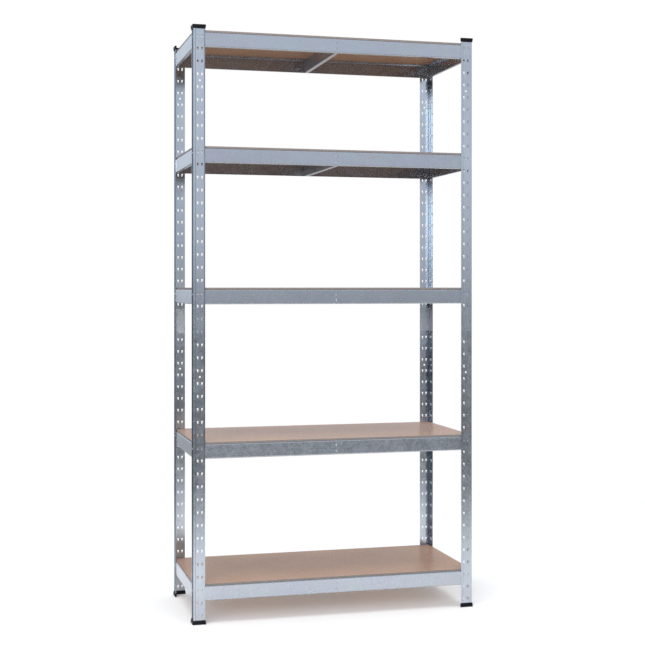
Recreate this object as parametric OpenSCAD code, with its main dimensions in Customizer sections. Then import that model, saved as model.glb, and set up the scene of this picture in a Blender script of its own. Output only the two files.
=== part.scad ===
// Boltless steel shelving with five tiers.
// Keyhole angle posts in two halves, beams that hook into them on rivets,
// a centre crossbar under each tier and loose fibreboard shelves.
// Origin: middle of the footprint, on the floor. X runs across, Y from front to back, Z up.

/* [Frame] */
// Width over the steel posts
frame_w = 890; // [600:10:1200]
// Depth over the steel posts
frame_d = 400; // [300:10:600]
// Height over the feet and the caps
frame_h = 1800; // [1790:5:1815]

/* [Posts] */
// Width of each leg of the angle
leg_w = 36; // [36:1:40]
// Thickness of the post sheet
post_t = 1; // [0.8:0.1:1.2]
// How far the keyhole strip is pressed in
recess = 1; // [0.8:0.1:1.2]
// Flat strip beside the corner
corner_band = 6; // [5:0.5:7]
// Raised strip beside the free edge
edge_band = 5.5; // [5:0.5:6]
// Distance from one keyhole level to the next
pitch = 38.7; // [38:0.1:39]
// Height of the lowest tier's rivets above the floor
first_level = 100; // [96:1:104]
// Length of the angle that joins two half posts
splice_len = 80; // [70:2:90]

/* [Keyholes and rivets] */
// Middle of the keyhole pair, from the corner
key_centre = 20; // [19.5:0.1:20]
// Distance between the two seats of a pair
seat_gap = 12; // [11:0.1:12]
// Distance between the two mouths of a pair
mouth_gap = 13.4; // [12.5:0.1:13.4]
// Height of the mouth above the seat
key_drop = 5; // [4.5:0.5:6]
// Radius of the mouth
mouth_r = 2.6; // [2.5:0.1:2.6]
// Radius of the rivet shank
shank_r = 1.3; // [1.1:0.1:1.3]
// Radius of the rivet head
head_r = 2.3; // [2:0.1:2.3]
// Radius of the wall fixing hole
wall_hole_r = 3; // [2.5:0.5:3]

/* [Beams] */
// Height of every beam
beam_h = 44; // [42:1:46]
// Thickness of the beam sheet
beam_t = 0.8; // [0.7:0.1:1]
// Depth of the top flange that carries the board
top_flange = 15; // [12:1:18]
// Depth of the bottom flange
bottom_flange = 10; // [8:1:12]
// Distance from the beam's top down to its rivets
rivet_drop = 14; // [12:0.5:16]
// Outside radius of a bend
bend_r = 3; // [2:0.5:3]
// Width of the crossbar's flanges and end plates
bar_flange = 13; // [10:1:14]
// Radius of the crossbar's snap bosses
boss_r = 3.4; // [3:0.1:3.6]
// How far a snap boss stands out of the beam
boss_rise = 1.4; // [1:0.1:1.6]

/* [Boards] */
// Thickness of a board
board_t = 6; // [5:1:8]
// Distance from the post's outer face to the board's edge
board_inset = 3.8; // [3.8:0.1:5]

/* [Caps] */
// Height of a cap or foot
cap_h = 12; // [10:1:14]
// Thickness of a cap's closed end
cap_floor = 3; // [2:0.5:4]
// Thickness of a cap's wall
cap_wall = 1.2; // [1:0.1:1.4]
// How far the closed end flares out
cap_flare = 1; // [0.5:0.1:1.2]

/* [Hidden] */
$fn = 48;
eps = 0.01;
post_in = recess + post_t;             // inner face of the keyhole strip
band_step = 1;                         // width of the slope between two strips
edge_slope = 3.5;                      // width of the slope down to the free edge
half_len = frame_h / 2 - cap_floor;    // length of one half post
levels_per_half = 23;
lowest_level = -2;                     // levels below the first tier
tier_level = [0, 11, 23, 34, 43];      // keyhole level of each tier, from the floor up
wall_hole_level = 16.6;                // between two keyhole levels, from the lowest tier
seat_r = shank_r + 0.2;
rivet_hole_r = shank_r + 0.05;
head_t = recess - 0.1;
tail_t = 0.8;
web_y = post_in;                       // outer face of a beam, from the post's outer face
end_gap = 0.6;                         // room between neighbouring beam ends
boss_drop = [14.5, 31.5];              // heights of the crossbar's bosses below the beam's top
boss_hole_r = boss_r + 0.2;
bar_x = -4;                            // left face of the crossbar's web
slot_share = 0.96;                     // width of a keyhole's slot against its seat
post_tint = [0.72, 0.75, 0.79];
beam_tint = [0.66, 0.69, 0.74];
rivet_tint = [0.80, 0.82, 0.85];
board_tint = [0.72, 0.64, 0.56];
cap_tint = [0.05, 0.05, 0.06];

function level_z(level) = first_level + level * pitch;
function beam_top(tier) = level_z(tier_level[tier - 1]) + rivet_drop;
function arc(centre, r, from, to, steps) =
    [for (i = [0:steps]) centre + r * [cos(from + (to - from) * i / steps),
                                       sin(from + (to - from) * i / steps)]];
function swapped(points) = [for (i = [len(points) - 1:-1:0]) [points[i].y, points[i].x]];

// Puts a piece drawn for the front left corner at any corner.
// side is -1 for left and 1 for right, face is -1 for front and 1 for back.
module at_corner(side, face) {
    mirror([side > 0 ? 1 : 0, 0, 0])
        mirror([0, face > 0 ? 1 : 0, 0])
            translate([-frame_w / 2, -frame_d / 2, 0])
                children();
}

// Swaps X and Y, so that a shape drawn for the front leg fits the side leg.
module on_side_leg() {
    mirror([1, -1, 0])
        children();
}

// Lays a flat drawing of X and height upright, through a front face.
module through_face(from_y, to_y) {
    translate([0, to_y, 0])
        rotate([90, 0, 0])
            linear_extrude(to_y - from_y)
                children();
}

// ---- Posts ----

// Section of the angle, with its corner at the origin and its legs along +X and +Y.
module post_section() {
    leg_outside = [
        [corner_band, 0], [corner_band + band_step, recess],
        [leg_w - edge_band - band_step, recess], [leg_w - edge_band, 0],
        [leg_w - edge_slope, 0], [leg_w, recess], [leg_w, post_in]
    ];
    leg_inside = [[corner_band + band_step, post_in], [corner_band, post_t]];
    leg = concat(leg_outside, leg_inside);
    polygon(concat(arc([bend_r, bend_r], bend_r, 180, 270, 5), leg,
                   [[post_t, post_t]], swapped(leg)));
}

// One keyhole: a round mouth, and a narrower slot that leans down to the seat.
module keyhole(side) {
    seat = [side * seat_gap / 2, 0];
    mouth = [side * mouth_gap / 2, key_drop];
    along = (mouth - seat) / norm(mouth - seat);
    half_slot = slot_share * seat_r * [along.y, -along.x];
    translate(seat)
        circle(seat_r);
    translate(mouth)
        circle(mouth_r);
    polygon([seat - half_slot, seat + half_slot, mouth + half_slot, mouth - half_slot]);
}

// Keyhole pairs and the wall fixing hole of one leg, as a drawing of X and height.
module leg_holes(first, hole_level) {
    for (level = [first:first + levels_per_half - 1])
        for (side = [-1, 1])
            translate([key_centre, level_z(level)])
                keyhole(side);
    translate([key_centre, level_z(hole_level)])
        circle(wall_hole_r);
}

module half_post(upper) {
    first = lowest_level + (upper ? levels_per_half : 0);
    hole_level = wall_hole_level + (upper ? levels_per_half : 0);
    bottom = upper ? frame_h / 2 : cap_floor;
    color(post_tint)
        difference() {
            translate([0, 0, bottom])
                linear_extrude(half_len)
                    post_section();
            through_face(-1, post_in + 1)
                leg_holes(first, hole_level);
            on_side_leg()
                through_face(-1, post_in + 1)
                    leg_holes(first, hole_level);
        }
}

// Angle inside the post, with bosses that sit in the keyhole seats on both sides of the joint.
module splice() {
    boss_levels = [20, 21];
    leg_end = leg_w - 2;
    color(post_tint)
        union() {
            translate([0, 0, (frame_h - splice_len) / 2])
                linear_extrude(splice_len)
                    polygon([[post_in, post_in], [leg_end, post_in], [leg_end, post_in + post_t],
                             [post_in + post_t, post_in + post_t],
                             [post_in + post_t, leg_end], [post_in, leg_end]]);
            splice_bosses(boss_levels);
            on_side_leg()
                splice_bosses(boss_levels);
        }
}

module splice_bosses(levels) {
    boss_out = post_in - 0.9 * post_t;
    for (level = levels)
        for (side = [-1, 1])
            translate([key_centre + side * seat_gap / 2, boss_out, level_z(level)])
                rotate([-90, 0, 0])
                    cylinder(h = post_in - boss_out + post_t / 2, r = shank_r);
}

// ---- Caps and feet ----

// L-shaped end cap: closed end up, flared outwards, open below for the post.
module cap_shape() {
    difference() {
        union() {
            cap_leg();
            on_side_leg()
                cap_leg();
        }
        translate([0, 0, -eps])
            cap_slot();
        translate([0, 0, -eps])
            on_side_leg()
                cap_slot();
    }
}

module cap_leg() {
    hull() {
        translate([-cap_wall, -cap_wall, 0])
            cube([leg_w + 2 * cap_wall, post_in + 2 * cap_wall, eps]);
        translate([-cap_wall - cap_flare, -cap_wall - cap_flare, cap_h - cap_floor])
            cube([leg_w + 2 * (cap_wall + cap_flare), post_in + 2 * cap_wall + cap_flare, cap_floor]);
    }
}

module cap_slot() {
    cube([leg_w, post_in, cap_h - cap_floor + eps]);
}

module cap() {
    color(cap_tint)
        translate([0, 0, frame_h - cap_h])
            cap_shape();
}

module foot() {
    color(cap_tint)
        translate([0, 0, cap_h])
            mirror([0, 0, 1])
                cap_shape();
}

// ---- Beams ----

// Section of a beam as a drawing of depth and height: outer face at 0, top at 0.
module beam_section() {
    inner_r = bend_r - beam_t;
    top_centre = [bend_r, -bend_r];
    bottom_centre = [bend_r, bend_r - beam_h];
    polygon(concat(
        [[top_flange, 0]],
        arc(top_centre, bend_r, 90, 180, 5),
        arc(bottom_centre, bend_r, 180, 270, 5),
        [[bottom_flange, -beam_h], [bottom_flange, beam_t - beam_h]],
        arc(bottom_centre, inner_r, 270, 180, 5),
        arc(top_centre, inner_r, 180, 90, 5),
        [[top_flange, -beam_t]]
    ));
}

// Beam along X with its middle at the origin of X and its outer face at Y = 0.
module beam_bar(length) {
    translate([-length / 2, 0, 0])
        rotate([90, 0, 90])
            linear_extrude(length)
                beam_section();
}

// Round holes for the two rivets at each end. span is the distance between post corners.
module rivet_holes(span) {
    for (end = [-1, 1])
        for (side = [-1, 1])
            translate([end * (span / 2 - key_centre) + side * seat_gap / 2, -1, -rivet_drop])
                rotate([-90, 0, 0])
                    cylinder(h = beam_t + 2, r = rivet_hole_r);
}

// Front beam; the back beam is its mirror image.
module long_beam(tier, face) {
    length = frame_w - 2 * (web_y + beam_t + end_gap);
    color(beam_tint)
        mirror([0, face > 0 ? 1 : 0, 0])
            translate([0, web_y - frame_d / 2, beam_top(tier)])
                difference() {
                    beam_bar(length);
                    rivet_holes(frame_w);
                    for (drop = boss_drop)
                        translate([0, -1, -drop])
                            rotate([-90, 0, 0])
                                cylinder(h = beam_t + 2, r = boss_hole_r);
                }
}

// Left beam; the right beam is its mirror image. Its flanges stop short of the long beams.
module side_beam(tier, side) {
    length = frame_d - 2 * (web_y + end_gap);
    flange_end = frame_d / 2 - web_y - top_flange - end_gap;
    color(beam_tint)
        mirror([side > 0 ? 1 : 0, 0, 0])
            translate([web_y - frame_w / 2, 0, beam_top(tier)])
                mirror([1, -1, 0])
                    difference() {
                        beam_bar(length);
                        rivet_holes(frame_d);
                        for (end = [-1, 1])
                            translate([end * (flange_end + frame_d / 2), frame_d / 2 + beam_t, 0])
                                cube([frame_d, frame_d, 3 * beam_h], center = true);
                    }
}

// Channel across the middle of a tier. Its end plates lie inside the long beams,
// and each has two domed bosses that snap into the beam's holes.
module crossbar(tier) {
    clear = 0.5;
    reach = frame_d / 2 - web_y;                 // outer face of a long beam
    plate_out = reach - beam_t;                  // outer face of an end plate
    top_y = reach - top_flange - clear;
    bottom_y = reach - bottom_flange - clear;
    plate_h = beam_h - 2 * (beam_t + clear);
    color(beam_tint)
        translate([bar_x, 0, beam_top(tier)])
            union() {
                translate([0, -top_y, -beam_h])
                    cube([beam_t, 2 * top_y, beam_h]);
                translate([0, -plate_out, -beam_t - clear - plate_h])
                    cube([beam_t, 2 * plate_out, plate_h]);
                translate([0, -top_y, -beam_t])
                    cube([bar_flange, 2 * top_y, beam_t]);
                translate([0, -bottom_y, -beam_h])
                    cube([bar_flange, 2 * bottom_y, beam_t]);
                translate([0, -bottom_y, -beam_h])
                    cube([beam_t, 2 * bottom_y, beam_h / 2]);
                for (face = [-1, 1])
                    mirror([0, face > 0 ? 1 : 0, 0])
                        translate([0, -plate_out, 0])
                            end_plate(plate_h, beam_t + clear);
            }
}

// End plate of a crossbar, with its outer face at Y = 0 and its bosses towards -Y.
module end_plate(height, drop) {
    bend = bend_r - beam_t;
    translate([0, 0, -drop - height + bend])
        cube([bar_flange, beam_t, height - 2 * bend]);
    for (boss = boss_drop)
        translate([-bar_x, 0, -boss])
            rotate([90, 0, 0])
                snap_boss();
}

// Round boss along +Z: a short shank through the beam, closed by a dome.
module snap_boss() {
    dome_r = (boss_r * boss_r + boss_rise * boss_rise) / (2 * boss_rise);
    rim = asin(boss_r / dome_r);
    rotate_extrude()
        polygon(concat(
            [[0, -beam_t / 2], [boss_r, -beam_t / 2]],
            arc([0, beam_t + boss_rise - dome_r], dome_r, 90 - rim, 90, 6)
        ));
}

// ---- Rivets ----

// One rivet: head in the pressed strip, shank through keyhole and beam, tail inside the beam.
module rivet() {
    flat = head_t / 2;
    grip = post_t + beam_t;
    rotate([-90, 0, 0])
        union() {
            translate([0, 0, recess - head_t])
                cylinder(h = flat, r1 = head_r - flat, r2 = head_r);
            translate([0, 0, recess - head_t + flat])
                cylinder(h = head_t - flat, r = head_r);
            translate([0, 0, recess - eps])
                cylinder(h = grip + 2 * eps, r = shank_r);
            translate([0, 0, recess + grip])
                cylinder(h = tail_t, r = head_r);
        }
}

module rivet_pair(tier) {
    for (side = [-1, 1])
        translate([key_centre + side * seat_gap / 2, 0, beam_top(tier) - rivet_drop])
            rivet();
}

module tier_rivets(tier) {
    color(rivet_tint)
        for (side = [-1, 1])
            for (face = [-1, 1])
                at_corner(side, face) {
                    rivet_pair(tier);
                    on_side_leg()
                        rivet_pair(tier);
                }
}

// ---- Boards ----

module board(tier) {
    size = [frame_w - 2 * board_inset, frame_d - 2 * board_inset, board_t];
    color(board_tint)
        translate([-size.x / 2, -size.y / 2, beam_top(tier)])
            cube(size);
}

// ---- Assembly ----

at_corner(-1, -1) half_post(false);  // post_front_left_lower
at_corner(-1, -1) half_post(true);  // post_front_left_upper
at_corner(1, -1) half_post(false);  // post_front_right_lower
at_corner(1, -1) half_post(true);  // post_front_right_upper
at_corner(-1, 1) half_post(false);  // post_back_left_lower
at_corner(-1, 1) half_post(true);  // post_back_left_upper
at_corner(1, 1) half_post(false);  // post_back_right_lower
at_corner(1, 1) half_post(true);  // post_back_right_upper
at_corner(-1, -1) splice();  // splice_front_left
at_corner(1, -1) splice();  // splice_front_right
at_corner(-1, 1) splice();  // splice_back_left
at_corner(1, 1) splice();  // splice_back_right
at_corner(-1, -1) cap();  // cap_front_left
at_corner(1, -1) cap();  // cap_front_right
at_corner(-1, 1) cap();  // cap_back_left
at_corner(1, 1) cap();  // cap_back_right
at_corner(-1, -1) foot();  // foot_front_left
at_corner(1, -1) foot();  // foot_front_right
at_corner(-1, 1) foot();  // foot_back_left
at_corner(1, 1) foot();  // foot_back_right
long_beam(1, -1);  // front_beam_1
long_beam(2, -1);  // front_beam_2
long_beam(3, -1);  // front_beam_3
long_beam(4, -1);  // front_beam_4
long_beam(5, -1);  // front_beam_5
long_beam(1, 1);  // back_beam_1
long_beam(2, 1);  // back_beam_2
long_beam(3, 1);  // back_beam_3
long_beam(4, 1);  // back_beam_4
long_beam(5, 1);  // back_beam_5
side_beam(1, -1);  // left_beam_1
side_beam(2, -1);  // left_beam_2
side_beam(3, -1);  // left_beam_3
side_beam(4, -1);  // left_beam_4
side_beam(5, -1);  // left_beam_5
side_beam(1, 1);  // right_beam_1
side_beam(2, 1);  // right_beam_2
side_beam(3, 1);  // right_beam_3
side_beam(4, 1);  // right_beam_4
side_beam(5, 1);  // right_beam_5
crossbar(1);  // crossbar_1
crossbar(2);  // crossbar_2
crossbar(3);  // crossbar_3
crossbar(4);  // crossbar_4
crossbar(5);  // crossbar_5
board(1);  // board_1
board(2);  // board_2
board(3);  // board_3
board(4);  // board_4
board(5);  // board_5
tier_rivets(1);  // rivets_1
tier_rivets(2);  // rivets_2
tier_rivets(3);  // rivets_3
tier_rivets(4);  // rivets_4
tier_rivets(5);  // rivets_5
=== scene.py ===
import math

import bmesh
import bpy
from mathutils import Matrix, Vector

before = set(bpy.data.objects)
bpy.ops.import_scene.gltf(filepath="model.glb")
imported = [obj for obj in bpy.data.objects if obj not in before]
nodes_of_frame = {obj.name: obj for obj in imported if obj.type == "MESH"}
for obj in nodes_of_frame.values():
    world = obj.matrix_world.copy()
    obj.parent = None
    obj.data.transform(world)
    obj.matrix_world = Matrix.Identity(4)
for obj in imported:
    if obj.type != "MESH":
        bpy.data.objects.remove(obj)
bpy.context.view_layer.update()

# Lengths are in metres unless a name says otherwise, texture scales are repeats per metre.

# galvanised sheet: spangle flakes, rolling marks, blotches of thinner and thicker zinc
SPANGLE_WANDER = 0.006
SPANGLE_WANDER_SCALE = 90.0
MARKS_ACROSS = 340.0
MARKS_ALONG = 6.0
MARKS_DEPTH = 0.12
BLOTCH_ACROSS = 9.0
BLOTCH_ALONG = 3.5
CLOUD_SCALE = 26.0
CLOUD_SHARE = 0.6
HUE_SCALE = 14.0
HUE_DEPTH = 0.10
FLAKE_HUE = (0.55, 0.62, 0.78)
FLAKE_HUE_DEPTH = 0.10
ROUGH_BY_FLAKE = 0.06
ROUGH_BY_CLOUD = 0.16
ROUGH_BY_MARKS = 0.08
FLAKE_HEIGHT = 0.30
MARKS_HEIGHT = 0.5
GRAIN_HEIGHT = 0.30
GRAIN_SCALE = 420.0
SHEET_RELIEF = 0.00010

# rivets
RIVET_GRAIN_SCALE = 1400.0
RIVET_CLOUD_SCALE = 160.0
RIVET_RELIEF = 0.0001

# fibreboard
FIBRE_SCALE = 1100.0
MATTED_SCALE = 230.0
SPECK_SCALE = 420.0
BOARD_CLOUD_SCALE = 7.0
DRIFT_SCALES = (1.6, 10.0, 10.0)
STRAND_SCALES = (130.0, 130.0, 1900.0)
BOARD_RELIEF = 0.0002

# black plastic
PLASTIC_GRAIN_SCALE = 1500.0
PLASTIC_CLOUD_SCALE = 60.0
RUB_SCALE = 220.0
PLASTIC_RELIEF = 0.00018

# rounded edges
PLASTIC_EDGE = 0.0005
BOARD_EDGE = 0.0004
EDGE_SEGMENTS = 2
EDGE_ANGLE_DEG = 40.0
SAME_POINT = 0.00001

# stage: the floor is whole up to FLOOR_FULL from the middle and gone at FLOOR_END
FLOOR_FULL = 1.2
FLOOR_END = 2.7
FLOOR_SIDES = 96
FLOOR_DROP = 0.0005
FLOOR_GLOW = 0.09
DOME_RADIUS = 40.0

# camera, fitted to the photo
SENSOR_MM = 36.0
LENS_MM = 72.26
SHIFT_Y = -0.056
CAMERA_PLACE = (-1.0619, -4.0461, 1.0141)
CAMERA_TILT_DEG = 90.0
CAMERA_TURN_DEG = -14.81
CLIP_NEAR = 0.05
CLIP_FAR = 200.0


# ---- Node helpers ----

class Graph:
    """A material's node tree, with short ways to add nodes and link them."""

    def __init__(self, name):
        self.mat = bpy.data.materials.new(name)
        self.mat.use_nodes = True
        self.tree = self.mat.node_tree
        self.tree.nodes.clear()
        self.out = self.add("ShaderNodeOutputMaterial")
        self.shader = self.add("ShaderNodeBsdfPrincipled")
        self.link(self.shader.outputs[0], self.out.inputs["Surface"])
        self.coord = self.add("ShaderNodeTexCoord")

    def add(self, kind, **settings):
        node = self.tree.nodes.new(kind)
        for key, value in settings.items():
            setattr(node, key, value)
        return node

    def link(self, a, b):
        self.tree.links.new(a, b)

    def put(self, socket, value):
        """Links value if it is a socket, or sets it."""
        if isinstance(value, bpy.types.NodeSocket):
            self.link(value, socket)
        else:
            socket.default_value = value

    def stretched(self, scale):
        """Object coordinates in metres, times scale along each axis."""
        node = self.add("ShaderNodeMapping")
        node.inputs["Scale"].default_value = scale
        self.link(self.coord.outputs["Object"], node.inputs["Vector"])
        return node.outputs[0]

    def split(self, output):
        """X, Y and Z of one of the texture coordinates."""
        node = self.add("ShaderNodeSeparateXYZ")
        self.link(self.coord.outputs[output], node.inputs[0])
        return node.outputs

    def noise(self, scale, detail=2.0, rough=0.5, distortion=0.0, colour=False, vector=None):
        node = self.add("ShaderNodeTexNoise")
        node.inputs["Scale"].default_value = scale
        node.inputs["Detail"].default_value = detail
        node.inputs["Roughness"].default_value = rough
        node.inputs["Distortion"].default_value = distortion
        self.link(vector or self.coord.outputs["Object"], node.inputs["Vector"])
        return node.outputs["Color" if colour else "Fac"]

    def math(self, op, a, b=0.0, c=0.0, clamp=False):
        node = self.add("ShaderNodeMath", operation=op, use_clamp=clamp)
        for i, v in enumerate((a, b, c)):
            self.put(node.inputs[i], v)
        return node.outputs[0]

    def vary(self, base, value, depth, clamp=False):
        """base, plus depth times what value has over one half."""
        return self.math("MULTIPLY_ADD", self.math("SUBTRACT", value, 0.5), depth, base, clamp)

    def span(self, value, lo=0.3, hi=0.7, to_lo=0.0, to_hi=1.0):
        """value from lo..hi to to_lo..to_hi, clamped."""
        node = self.add("ShaderNodeMapRange", clamp=True)
        self.put(node.inputs["Value"], value)
        self.put(node.inputs["From Min"], lo)
        self.put(node.inputs["From Max"], hi)
        self.put(node.inputs["To Min"], to_lo)
        self.put(node.inputs["To Max"], to_hi)
        return node.outputs[0]

    def mix(self, fac, a, b, blend="MIX"):
        node = self.add("ShaderNodeMix", data_type="RGBA", blend_type=blend)
        self.put(node.inputs[0], fac)
        self.put(node.inputs[6], a)
        self.put(node.inputs[7], b)
        return node.outputs[2]

    def bump(self, height, strength, distance):
        node = self.add("ShaderNodeBump")
        node.inputs["Strength"].default_value = strength
        node.inputs["Distance"].default_value = distance
        self.put(node.inputs["Height"], height)
        return node.outputs[0]

    def set(self, **sockets):
        """Sets or links inputs of the shader; an underscore stands for a space."""
        for key, value in sockets.items():
            self.put(self.shader.inputs[key.replace("_", " ")], value)


def rgb(r, g, b):
    return (r, g, b, 1.0)


def along_axis(axis, across, along):
    """Scales for a texture that is stretched along one axis."""
    scales = [across] * 3
    scales["XYZ".index(axis)] = along
    return scales


# ---- Materials ----

def galvanised(name, light, dark, axis, rough, spangle_mm, spangle_depth, blotch_depth, relief=0.04,
               grazing_shade_tint=(1.0, 1.0, 1.0)):
    """Zinc-coated sheet: spangle flakes, soft blotches and fine rolling marks along one axis."""
    g = Graph(name)
    # spangle: crystals a few millimetres wide with wandering borders
    wander = g.noise(SPANGLE_WANDER_SCALE, colour=True)
    moved = g.add("ShaderNodeVectorMath", operation="MULTIPLY_ADD")
    g.link(wander, moved.inputs[0])
    moved.inputs[1].default_value = (SPANGLE_WANDER, SPANGLE_WANDER, SPANGLE_WANDER)
    g.link(g.coord.outputs["Object"], moved.inputs[2])
    crystal = g.add("ShaderNodeTexVoronoi", feature="F1")
    crystal.inputs["Scale"].default_value = 1000.0 / spangle_mm
    g.link(moved.outputs[0], crystal.inputs["Vector"])
    parts = g.add("ShaderNodeSeparateColor")
    g.link(crystal.outputs["Color"], parts.inputs[0])
    flake, flake_tint = parts.outputs[0], parts.outputs[1]
    marks = g.noise(1.0, 3.0, 0.6, vector=g.stretched(along_axis(axis, MARKS_ACROSS, MARKS_ALONG)))
    blotch = g.noise(1.0, 4.0, 0.62, 0.4, vector=g.stretched(along_axis(axis, BLOTCH_ACROSS, BLOTCH_ALONG)))
    cloud = g.noise(CLOUD_SCALE, 3.0, 0.55, 0.3)
    # lightness
    tone = g.math("MULTIPLY_ADD", g.span(blotch, 0.32, 0.68, -1.0, 1.0), blotch_depth, 0.5)
    tone = g.math("MULTIPLY_ADD", g.span(cloud, to_lo=-1.0), blotch_depth * CLOUD_SHARE, tone)
    tone = g.vary(tone, flake, spangle_depth)
    tone = g.vary(tone, marks, MARKS_DEPTH, clamp=True)
    base = g.mix(tone, rgb(*dark), rgb(*light))
    # a faint play of blue, violet and green in the zinc
    hue = g.noise(HUE_SCALE, distortion=0.6, colour=True)
    base = g.mix(HUE_DEPTH, base, hue, "SOFT_LIGHT")
    base = g.mix(g.math("MULTIPLY", flake_tint, FLAKE_HUE_DEPTH), base, rgb(*FLAKE_HUE), "SOFT_LIGHT")
    # roughness and relief
    r = g.vary(rough, flake, ROUGH_BY_FLAKE)
    r = g.vary(r, cloud, ROUGH_BY_CLOUD)
    r = g.vary(r, marks, ROUGH_BY_MARKS, clamp=True)
    height = g.math("MULTIPLY_ADD", flake, FLAKE_HEIGHT, g.math("MULTIPLY", marks, MARKS_HEIGHT))
    height = g.math("MULTIPLY_ADD", g.noise(GRAIN_SCALE), GRAIN_HEIGHT, height)
    # the reflection colour at grazing angles: a dark tint here is painted shade on faces seen edge-on
    g.set(Base_Color=base, Metallic=1.0, Roughness=r, Specular_Tint=rgb(*grazing_shade_tint),
          Normal=g.bump(height, relief, SHEET_RELIEF))
    return g.mat


def zinc_rivet():
    """Bright zinc with a fine dull grain."""
    g = Graph("zinc_rivet")
    grain = g.noise(RIVET_GRAIN_SCALE, 3.0, 0.6)
    cloud = g.noise(RIVET_CLOUD_SCALE)
    base = g.mix(g.span(cloud), rgb(0.52, 0.55, 0.60), rgb(0.70, 0.73, 0.78))
    base = g.mix(g.span(grain, 0.60, 0.72), base, rgb(0.42, 0.44, 0.48))
    g.set(Base_Color=base, Metallic=1.0, Roughness=g.span(cloud, 0.25, 0.75, 0.24, 0.40),
          Normal=g.bump(grain, 0.25, RIVET_RELIEF))
    return g.mat


def fibreboard():
    """Raw board: fine matted fibres on the faces, darker sawn edges with layered strands."""
    g = Graph("fibreboard")
    fibre = g.noise(FIBRE_SCALE, 4.0, 0.65, 1.2)
    matted = g.noise(MATTED_SCALE, 4.0, 0.6, 0.8)
    cloud = g.noise(BOARD_CLOUD_SCALE, 3.0, 0.55, 0.5)
    drift = g.noise(1.0, 3.0, vector=g.stretched(DRIFT_SCALES))
    speck = g.noise(SPECK_SCALE)
    base = g.mix(g.span(cloud), rgb(0.34, 0.192, 0.108), rgb(0.42, 0.241, 0.143))
    base = g.mix(g.span(drift, 0.35, 0.70, 0.0, 0.35), base, rgb(0.44, 0.261, 0.158))
    base = g.mix(g.span(matted, 0.42, 0.70, 0.0, 0.45), base, rgb(0.28, 0.152, 0.083))
    base = g.mix(g.span(fibre, 0.58, 0.72, 0.0, 0.55), base, rgb(0.51, 0.335, 0.216))
    base = g.mix(g.span(speck, 0.70, 0.76, 0.0, 0.7), base, rgb(0.16, 0.10, 0.07))
    # sawn edges: wherever the surface doesn't face up or down
    up = g.math("ABSOLUTE", g.split("Normal")[2])
    edge = g.span(up, 0.35, 0.85, 1.0, 0.0)
    strands = g.noise(1.0, 3.0, 0.6, 0.3, vector=g.stretched(STRAND_SCALES))
    sawn = g.mix(g.span(strands), rgb(0.165, 0.147, 0.142), rgb(0.255, 0.230, 0.225))
    base = g.mix(edge, base, sawn)
    rough = g.math("MULTIPLY_ADD", g.span(matted), 0.10, 0.24)
    rough = g.math("MULTIPLY_ADD", edge, 0.35, rough, clamp=True)
    height = g.math("MULTIPLY_ADD", matted, 0.6, fibre)
    height = g.math("MULTIPLY_ADD", g.math("MULTIPLY", edge, strands), 2.0, height)
    g.set(Base_Color=base, Roughness=rough, Specular_IOR_Level=0.1,
          Normal=g.bump(height, 0.12, BOARD_RELIEF))
    return g.mat


def black_plastic():
    """Moulded polyethylene with a fine spark-eroded grain and rubbed, duller patches."""
    g = Graph("black_plastic")
    grain = g.noise(PLASTIC_GRAIN_SCALE, 3.0, 0.6)
    cloud = g.noise(PLASTIC_CLOUD_SCALE, 3.0, 0.5, 0.4)
    rub = g.noise(RUB_SCALE, 4.0, 0.7, 1.0)
    base = g.mix(g.span(cloud), rgb(0.004, 0.004, 0.006), rgb(0.009, 0.009, 0.012))
    base = g.mix(g.span(rub, 0.62, 0.78, 0.0, 0.5), base, rgb(0.024, 0.024, 0.028))
    rough = g.math("MULTIPLY_ADD", g.span(rub, 0.35, 0.75), 0.18, 0.46)
    rough = g.vary(rough, grain, 0.16, clamp=True)
    g.set(Base_Color=base, Roughness=rough, Specular_IOR_Level=0.12,
          Normal=g.bump(grain, 0.22, PLASTIC_RELIEF))
    return g.mat


# the posts get a dark tint at grazing angles, painted shade that darkens faces seen edge-on, such as the
# side legs
post_metal = galvanised("galvanised_post", light=(0.60, 0.64, 0.69), dark=(0.33, 0.36, 0.40), axis="Z",
                        rough=0.19, spangle_mm=9.0, spangle_depth=0.16, blotch_depth=0.12,
                        grazing_shade_tint=(0.15, 0.17, 0.20))
joint_metal = galvanised("galvanised_joint_angle", light=(0.56, 0.60, 0.64), dark=(0.34, 0.37, 0.41),
                         axis="Z", rough=0.42, spangle_mm=8.0, spangle_depth=0.25, blotch_depth=0.16)
beam_x = galvanised("galvanised_beam_long", light=(0.54, 0.57, 0.62), dark=(0.36, 0.385, 0.43), axis="X",
                    rough=0.26, spangle_mm=7.0, spangle_depth=0.10, blotch_depth=0.08, relief=0.02)
beam_y = galvanised("galvanised_beam_side", light=(0.55, 0.59, 0.64), dark=(0.37, 0.40, 0.44), axis="Y",
                    rough=0.26, spangle_mm=7.0, spangle_depth=0.10, blotch_depth=0.08, relief=0.02)
bar_metal = galvanised("galvanised_crossbar", light=(0.58, 0.61, 0.65), dark=(0.40, 0.42, 0.46), axis="Y",
                       rough=0.36, spangle_mm=7.0, spangle_depth=0.16, blotch_depth=0.12)
rivet_metal = zinc_rivet()
board_wood = fibreboard()
plastic = black_plastic()

KINDS = {"post_": post_metal, "splice_": joint_metal, "front_beam_": beam_x, "back_beam_": beam_x,
         "left_beam_": beam_y, "right_beam_": beam_y, "crossbar_": bar_metal, "rivets_": rivet_metal,
         "board_": board_wood, "cap_": plastic, "foot_": plastic}

for name, obj in nodes_of_frame.items():
    material = next(m for start, m in KINDS.items() if name.startswith(start))
    for slot in obj.material_slots:
        slot.material = material
    if not obj.material_slots:
        obj.data.materials.append(material)


# ---- Rounded edges ----

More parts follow.
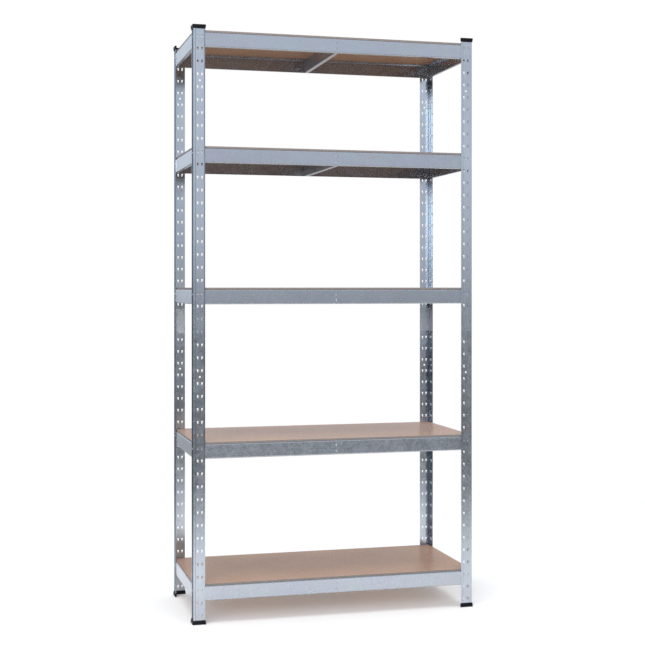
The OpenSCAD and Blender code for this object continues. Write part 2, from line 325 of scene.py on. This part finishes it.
def soften(obj, width):
    """A small rounded edge on a piece, inside its CAD surface."""
    # the loaded mesh has points of its own for each face, which a bevel needs joined
    joined = obj.modifiers.new("joined_corners", "WELD")
    joined.merge_threshold = SAME_POINT
    edge = obj.modifiers.new("soft_edge", "BEVEL")
    edge.width = width
    edge.segments = EDGE_SEGMENTS
    edge.limit_method = "ANGLE"
    edge.angle_limit = math.radians(EDGE_ANGLE_DEG)
    edge.use_clamp_overlap = True
    edge.harden_normals = False


for name, obj in nodes_of_frame.items():
    if name.startswith(("cap_", "foot_")):
        soften(obj, PLASTIC_EDGE)
    elif name.startswith("board_"):
        soften(obj, BOARD_EDGE)


# ---- Stage ----

def floor_material():
    """Pale studio floor that fades into the white backdrop."""
    g = Graph("studio_floor")
    base = g.mix(g.span(g.noise(0.8)), rgb(0.84, 0.84, 0.84), rgb(0.87, 0.87, 0.87))
    x, y, _ = g.split("Object")
    away = g.math("SQRT", g.math("MULTIPLY_ADD", x, x, g.math("MULTIPLY", y, y)))
    g.set(Base_Color=base, Roughness=0.75, Specular_IOR_Level=0.2, Emission_Color=rgb(1.0, 1.0, 1.0),
          Emission_Strength=FLOOR_GLOW, Alpha=g.span(away, FLOOR_FULL, FLOOR_END, 1.0, 0.0))
    return g.mat


def backdrop_material():
    """Plain white that gives off its own light."""
    g = Graph("white_backdrop")
    g.set(Base_Color=rgb(0.0, 0.0, 0.0), Roughness=1.0, Specular_IOR_Level=0.0,
          Emission_Color=rgb(1.0, 1.0, 1.0), Emission_Strength=1.0)
    return g.mat


def stage_object(name, bm, material):
    mesh = bpy.data.meshes.new(name)
    bm.to_mesh(mesh)
    bm.free()
    obj = bpy.data.objects.new(name, mesh)
    mesh.materials.append(material)
    bpy.context.scene.collection.objects.link(obj)
    return obj


disc = bmesh.new()
bmesh.ops.create_circle(disc, cap_ends=True, radius=FLOOR_END, segments=FLOOR_SIDES)
floor = stage_object("floor", disc, floor_material())
floor.location.z = -FLOOR_DROP
floor.visible_diffuse = False

# the dome is only seen by the camera: the world gives the light and the reflections
dome = bmesh.new()
bmesh.ops.create_icosphere(dome, subdivisions=4, radius=DOME_RADIUS)
backdrop = stage_object("backdrop", dome, backdrop_material())
backdrop.visible_diffuse = False
backdrop.visible_glossy = False
backdrop.visible_transmission = False
backdrop.visible_volume_scatter = False
backdrop.visible_shadow = False


# ---- Light ----

def softbox(name, place, target, width, height, watts):
    """A white rectangular light at place that faces target."""
    light = bpy.data.lights.new(name, "AREA")
    light.shape = "RECTANGLE"
    light.size = width
    light.size_y = height
    light.energy = watts
    obj = bpy.data.objects.new(name, light)
    obj.location = place
    obj.rotation_mode = "QUATERNION"
    obj.rotation_quaternion = (Vector(target) - Vector(place)).to_track_quat("-Z", "Y")
    bpy.context.scene.collection.objects.link(obj)
    return obj


camera_light = softbox("camera_light", (-1.62, -5.6, 2.05), (0.2, 0.0, 1.4), 1.6, 1.9, 70.0)
fill_light = softbox("fill_light", (-3.2, -5.2, 2.6), (0.0, 0.0, 1.4), 4.4, 3.4, 200.0)
top_light = softbox("top_light", (0.0, -0.6, 4.8), (0.0, 0.0, 0.0), 4.2, 3.2, 120.0)
fill_light.visible_glossy = False
top_light.visible_glossy = False

# the camera light is there for the inner corner of the back right post, and would glare on these pieces
FLAGGED = ("post_front_", "post_back_left_", "front_beam_")
flagged = bpy.data.collections.new("flagged_off_camera_light")
for name, obj in nodes_of_frame.items():
    if name.startswith(FLAGGED):
        flagged.objects.link(obj)
for member in flagged.collection_objects:
    member.light_linking.link_state = "EXCLUDE"
camera_light.light_linking.receiver_collection = flagged


def smooth_step(tree, value, lo, hi, to_lo=0.0, to_hi=1.0):
    node = tree.nodes.new("ShaderNodeMapRange")
    node.interpolation_type = "SMOOTHSTEP"
    node.inputs["From Min"].default_value = lo
    node.inputs["From Max"].default_value = hi
    node.inputs["To Min"].default_value = to_lo
    node.inputs["To Max"].default_value = to_hi
    tree.links.new(value, node.inputs["Value"])
    return node.outputs[0]


def height_ramp(tree, height, stops):
    """Colours by height: each stop is the sine of the elevation, the brightness and the tint."""
    node = tree.nodes.new("ShaderNodeValToRGB")
    bands = node.color_ramp
    while len(bands.elements) < len(stops):
        bands.elements.new(0.5)
    for element, (at, level, tint) in zip(bands.elements, stops):
        element.position = (at + 1.0) / 2.0
        element.color = rgb(*(level * part for part in tint))
    tree.links.new(height, node.inputs[0])
    return node.outputs[0]


def studio_world():
    """Light room: white above the horizon and darker just below it, more so in front of the object."""
    world = bpy.data.worlds.new("studio")
    world.use_nodes = True
    tree = world.node_tree
    coord = tree.nodes.new("ShaderNodeTexCoord")
    way = tree.nodes.new("ShaderNodeSeparateXYZ")
    tree.links.new(coord.outputs["Generated"], way.inputs[0])
    height = tree.nodes.new("ShaderNodeMapRange")
    height.inputs["From Min"].default_value = -1.0
    height.inputs["From Max"].default_value = 1.0
    tree.links.new(way.outputs[2], height.inputs["Value"])
    cool = (0.92, 0.98, 1.08)
    plain = (1.0, 1.0, 1.0)
    warm = (1.03, 0.99, 0.94)
    front = height_ramp(tree, height.outputs[0], (
        (-1.0, 0.95, warm), (-0.45, 0.78, warm), (-0.20, 0.28, plain), (-0.02, 0.26, plain),
        (0.012, 0.97, cool), (0.20, 1.0, cool), (1.0, 0.72, plain)))
    behind = height_ramp(tree, height.outputs[0], (
        (-1.0, 0.95, warm), (-0.45, 0.80, warm), (-0.20, 0.46, plain), (-0.02, 0.55, cool),
        (0.012, 0.92, cool), (0.20, 0.95, cool), (1.0, 0.72, plain)))
    blend = tree.nodes.new("ShaderNodeMix")
    blend.data_type = "RGBA"
    tree.links.new(smooth_step(tree, way.outputs[1], -0.3, 0.3), blend.inputs[0])
    tree.links.new(front, blend.inputs[6])
    tree.links.new(behind, blend.inputs[7])
    # the right-hand side of the room in front of the object is dimmer
    share = tree.nodes.new("ShaderNodeMix")
    tree.links.new(smooth_step(tree, way.outputs[1], -0.7, -0.1), share.inputs[0])
    tree.links.new(smooth_step(tree, way.outputs[0], 0.42, 0.72, 1.0, 0.40), share.inputs[2])
    share.inputs[3].default_value = 1.0
    shade = tree.nodes.new("ShaderNodeMix")
    shade.data_type = "RGBA"
    shade.blend_type = "MULTIPLY"
    shade.inputs[0].default_value = 1.0
    tree.links.new(blend.outputs[2], shade.inputs[6])
    tree.links.new(share.outputs[0], shade.inputs[7])
    background = tree.nodes["Background"]
    tree.links.new(shade.outputs[2], background.inputs["Color"])
    background.inputs["Strength"].default_value = 1.0
    return world


bpy.context.scene.world = studio_world()
bpy.context.scene.view_settings.view_transform = "Standard"
bpy.context.scene.view_settings.look = "None"


# ---- Camera ----

camera_data = bpy.data.cameras.new("camera")
camera_data.sensor_width = SENSOR_MM
camera_data.lens = LENS_MM
camera_data.shift_y = SHIFT_Y
camera_data.clip_start = CLIP_NEAR
camera_data.clip_end = CLIP_FAR
camera = bpy.data.objects.new("camera", camera_data)
camera.location = CAMERA_PLACE
camera.rotation_euler = (math.radians(CAMERA_TILT_DEG), 0.0, math.radians(CAMERA_TURN_DEG))
bpy.context.scene.collection.objects.link(camera)
bpy.context.scene.camera = camera
